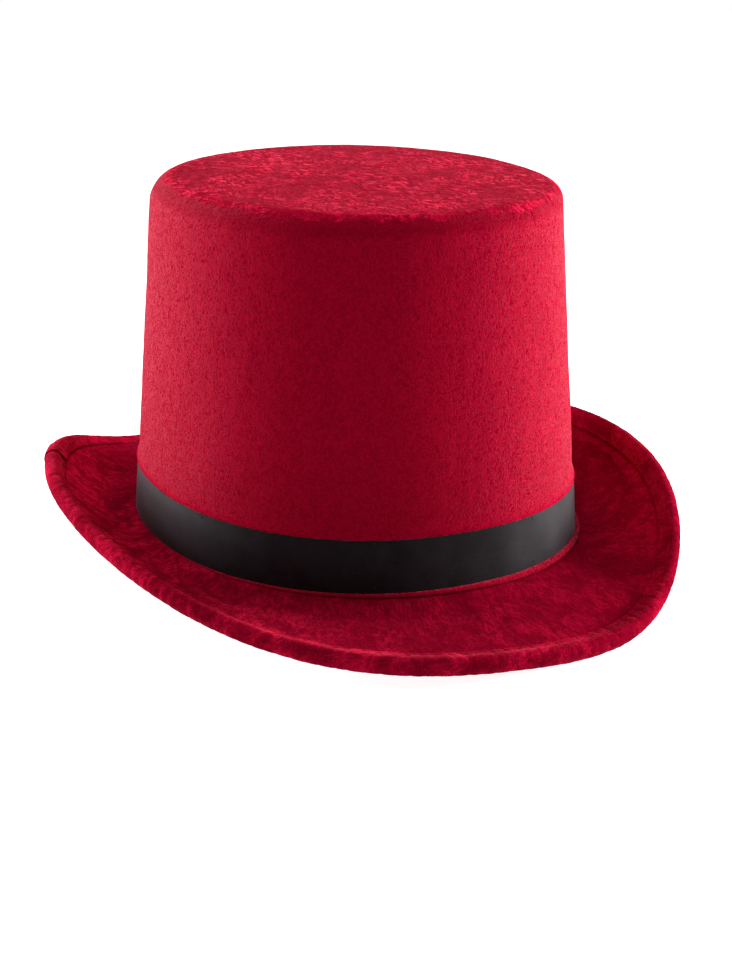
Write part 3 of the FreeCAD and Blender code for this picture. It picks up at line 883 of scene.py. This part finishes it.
def ribbon_tacks():
    """Tacks that hold the ribbon down near its two edges."""
    count, from_edge = 8, 1.75 * MM
    t = around(count) + math.pi / count
    middles, alongs, normals = [], [], []
    for z in (FOOT + from_edge, BAND_TOP - from_edge):
        middles += list(crown_points(t, GAP + RIBBON + 0.08 * MM + ripple(t, 0.5), z))
        alongs += [UP] * count
        normals += [np.array([math.cos(turn), math.sin(turn), 0]) for turn in t]
    piece = thread_piece("ribbon_tacks", middles, alongs, normals, STITCH / 2)
    dress(piece, BLACK_THREAD, ["hat_band_stitches"])


# -------- inside

def lining():
    """The lining on the crown's wall, in soft gathers."""
    low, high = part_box("crown_lining")
    out = -(VELVET + CROWN_BOARD + 2 * GAP + LINING)

    def gathers(angle, share):
        waves = np.sin(31 * angle + 1.5 * np.sin(3 * angle)) + 0.6 * np.sin(53 * angle)
        return -0.55 * MM * (1 + 0.6 * waves) * np.sin(math.pi * share) ** 0.5
    piece = band_piece("lining", around(PLAIN), out, low.z, high.z, LINING, 24, gathers)
    dress(piece, LINING_CLOTH, ["crown_lining"])


def tip_lining():
    """The oval of lining under the tip. Its lower face hangs free, and its upper face is flat."""
    t = around(PLAIN)
    low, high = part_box("tip_lining")
    rows = []
    for z, shares, free in ((low.z, np.linspace(0.02, 1, 22), 1), (high.z, (1, 0.6, 0.3, 0.02), 0)):
        for share in shares:
            x, y = oval(high.x * share, high.y * share, CROWN_SQUARENESS, t)
            row = stack(x, y, z - 1.1 * MM * (1 - share ** 4) * free)
            uneven = 0.25 * MM * (1 + cloud(row, 22 * MM, 2))
            row[:, 2] -= uneven * (1 - share ** 6) * free
            rows.append(row)
    piece = grid_piece("tip_lining_cloth", rows[::-1], caps=True)
    dress(piece, LINING_CLOTH, ["tip_lining"])


def sweatband():
    """The sweatband, which bears on the head and stands a little unevenly at its top."""
    low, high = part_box("sweatband")

    def sway(angle, share):
        return -0.25 * MM * share * (0.5 + 0.5 * np.sin(9 * angle + np.sin(4 * angle)))
    piece = band_piece("sweatband_cloth", around(PLAIN), -SWEATBAND_FACE, low.z, high.z, SWEATBAND,
                       18, sway)
    dress(piece, GROSGRAIN, ["sweatband"])


def sweatband_tape():
    """The tape over the sweatband's ends."""
    low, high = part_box("sweatband_join")
    middle = math.atan2((low.y + high.y) / 2, (low.x + high.x) / 2)
    t = overlap(middle, CROWN_HALF_LENGTH - SWEATBAND_FACE, 16)
    out = -SWEATBAND_FACE - GAP - LINING - 0.25 * MM
    piece = band_piece("sweatband_tape", t, out, low.z, high.z, LINING, 14, closed=False)
    dress(piece, GROSGRAIN, ["sweatband_join"])


def sweatband_thread():
    """Stitches along the sweatband's lower edge."""
    low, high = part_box("sweatband_stitches")
    level = (low.z + high.z) / 2
    count = round(SWEATBAND_SEAM / STITCH_PITCH)
    t = evenly(lambda angle: crown_points(angle, -SWEATBAND_FACE, level), count)[0]
    place = crown_points(t, -SWEATBAND_FACE - 0.1 * MM, level)
    step = 0.01
    ahead = (crown_points(t + step, -SWEATBAND_FACE, level)
             - crown_points(t - step, -SWEATBAND_FACE, level))
    ahead /= np.linalg.norm(ahead, axis=-1, keepdims=True)
    inward = np.cross(UP, ahead)
    piece = thread_piece("sweatband_thread", list(place), list(ahead), list(inward), STITCH)
    dress(piece, BLACK_THREAD, ["sweatband_stitches"])


def label_columns():
    """Where the columns of the label stand along X."""
    low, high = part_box("care_label_hem")
    return np.linspace(low.x, high.x, LABEL_COLUMNS)


def label_hem():
    """The sewn end of the blank care label, doubled and slightly full."""
    low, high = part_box("care_label_hem")
    x = label_columns()
    t = np.arccos(x / (CROWN_HALF_WIDTH - SWEATBAND_FACE))
    levels = np.linspace(low.z, high.z, 9)
    rows = []
    for z in levels:
        bulge = 0.12 * MM * math.sin(math.pi * (z - low.z) / (high.z - low.z))
        rows.append(stack(x, low.y - bulge + 0.1 * MM, z))
    for z in levels[::-1]:
        rows.append(stack(x, crown_points(t, -SWEATBAND_FACE - GAP, z)[:, 1], z))
    piece = grid_piece("label_hem", rows, closed=False, loop=True)
    cap_ends(piece.data, len(rows), LABEL_COLUMNS)
    dress(piece, LABEL, ["care_label_hem"])


def label_thread():
    """Stitches through the label's hem."""
    count = 4
    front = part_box("care_label_hem")[0].y
    low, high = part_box("care_label_stitches")
    middles = [np.array([(number - (count - 1) / 2) * STITCH_PITCH, front - 0.06 * MM,
                         (low.z + high.z) / 2]) for number in range(count)]
    piece = thread_piece("label_thread", middles, [np.array([1.0, 0, 0])] * count,
                         [np.array([0, -1.0, 0])] * count, STITCH)
    dress(piece, BLACK_THREAD, ["care_label_stitches"])


def label_flap():
    """The free part of the care label, which curls a little towards its lower edge."""
    low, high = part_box("care_label")
    x = label_columns()
    shares = np.linspace(0, 1, 25)
    rows = []
    for depth, ordered in ((0, shares), (high.y - low.y, shares[::-1])):
        for share in ordered:
            curl = 2.2 * MM * (1 - share) ** 2 + 0.5 * MM * (1 - share) * np.sin(260 * x)
            rows.append(stack(x, low.y + depth - curl, low.z + (high.z - low.z) * share))
    piece = grid_piece("label_flap", rows, closed=False, loop=True)
    cap_ends(piece.data, len(rows), LABEL_COLUMNS)
    dress(piece, LABEL, ["care_label"], body="care_label")


def frame_finishes():
    """Materials for the CAD pieces that stay as they are."""
    finishes = {"crown_shell": BOARD, "brim_board": BOARD, "brim_collar": BOARD, "brim_wire": STEEL,
                "wire_joiner": STEEL, "collar_stitches": BLACK_THREAD}
    for name, material in finishes.items():
        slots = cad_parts[name].data.materials
        slots.clear()
        slots.append(material)


# -------- studio

def light(name, bearing, height, distance, size, power):
    """A soft rectangular light. bearing is counted from the camera's, anticlockwise from above."""
    lamp = bpy.data.lights.new(name, "AREA")
    lamp.shape = "RECTANGLE"
    lamp.size, lamp.size_y = size
    lamp.energy = power
    angle = CAMERA_AZIMUTH - math.pi / 2 + math.radians(bearing)
    place = Vector((distance * math.cos(angle), distance * math.sin(angle), height))
    stand = link(name, lamp)
    stand.location = place
    stand.rotation_euler = (LIGHT_AIM - place).to_track_quat("-Z", "Y").to_euler()


def camera():
    """The camera, by its angles round the hat."""
    a, e = CAMERA_AZIMUTH, CAMERA_ELEVATION
    back = Vector((math.sin(a) * math.cos(e), -math.cos(a) * math.cos(e), math.sin(e)))
    level = Vector((math.cos(a), math.sin(a), 0))
    rise = back.cross(level)
    right = level * math.cos(CAMERA_ROLL) + rise * math.sin(CAMERA_ROLL)
    up = rise * math.cos(CAMERA_ROLL) - level * math.sin(CAMERA_ROLL)
    aside, height = CAMERA_AIM
    place = level * aside + Vector((0, 0, height)) + back * CAMERA_DISTANCE
    view = bpy.data.cameras.new("camera")
    view.lens = CAMERA_LENS
    view.sensor_width = CAMERA_SENSOR
    view.clip_start = 10 * MM
    holder = link("camera", view)
    holder.matrix_world = Matrix.Translation(place) @ Matrix((right, up, back)).transposed().to_4x4()
    bpy.context.scene.camera = holder


def seen_or(tree, seen, unseen):
    """A value that is one thing where it is seen and another where it only lights the hat."""
    is_seen = tree.nodes.new("ShaderNodeLightPath").outputs["Is Camera Ray"]
    level = tree.nodes.new("ShaderNodeMapRange")
    level.inputs["To Min"].default_value = unseen
    level.inputs["To Max"].default_value = seen
    tree.links.new(is_seen, level.inputs["Value"])
    return level.outputs["Result"]


def white_floor():
    """A plain white floor, far wider than the view."""
    half = 4.0
    mesh = bpy.data.meshes.new("floor")
    mesh.from_pydata([(-half, -half, 0), (half, -half, 0), (half, half, 0), (-half, half, 0)], [],
                     [(0, 1, 2, 3)])
    floor = link("floor", mesh)
    paint = Paint("floor", roughness=0.9, specular=0.1)
    paint.shader.inputs["Base Color"].default_value = (0.7, 0.7, 0.7, 1)
    paint.shader.inputs["Emission Color"].default_value = WHITE
    glow = seen_or(paint.tree, seen=0.90, unseen=0.34)
    paint.set(paint.shader.inputs["Emission Strength"], glow)
    floor.data.materials.append(paint.material)


def studio():
    """White surroundings and floor, two low soft lights at the sides and one above."""
    world = bpy.data.worlds.new("studio")
    world.use_nodes = True
    tree = world.node_tree
    back = tree.nodes["Background"]
    back.inputs["Color"].default_value = WHITE
    tree.links.new(seen_or(tree, seen=1.0, unseen=0.13), back.inputs["Strength"])
    bpy.context.scene.world = world
    white_floor()
    beside = {"height": 0.17, "distance": 0.95, "size": (0.55, 0.3)}
    light("left", bearing=-112, power=17.5, **beside)
    light("right", bearing=106, power=24, **beside)
    light("above", bearing=180, height=1.2, distance=0.15, size=(0.9, 0.9), power=10)


bpy.context.scene.view_settings.view_transform = "Standard"
camera()
crown_velvet()
brim_top_velvet()
brim_under_velvet()
binding()
binding_join()
binding_thread()
ribbon()
ribbon_join()
ribbon_tacks()
lining()
tip_lining()
sweatband()
sweatband_tape()
sweatband_thread()
label_hem()
label_thread()
label_flap()
frame_finishes()
studio()
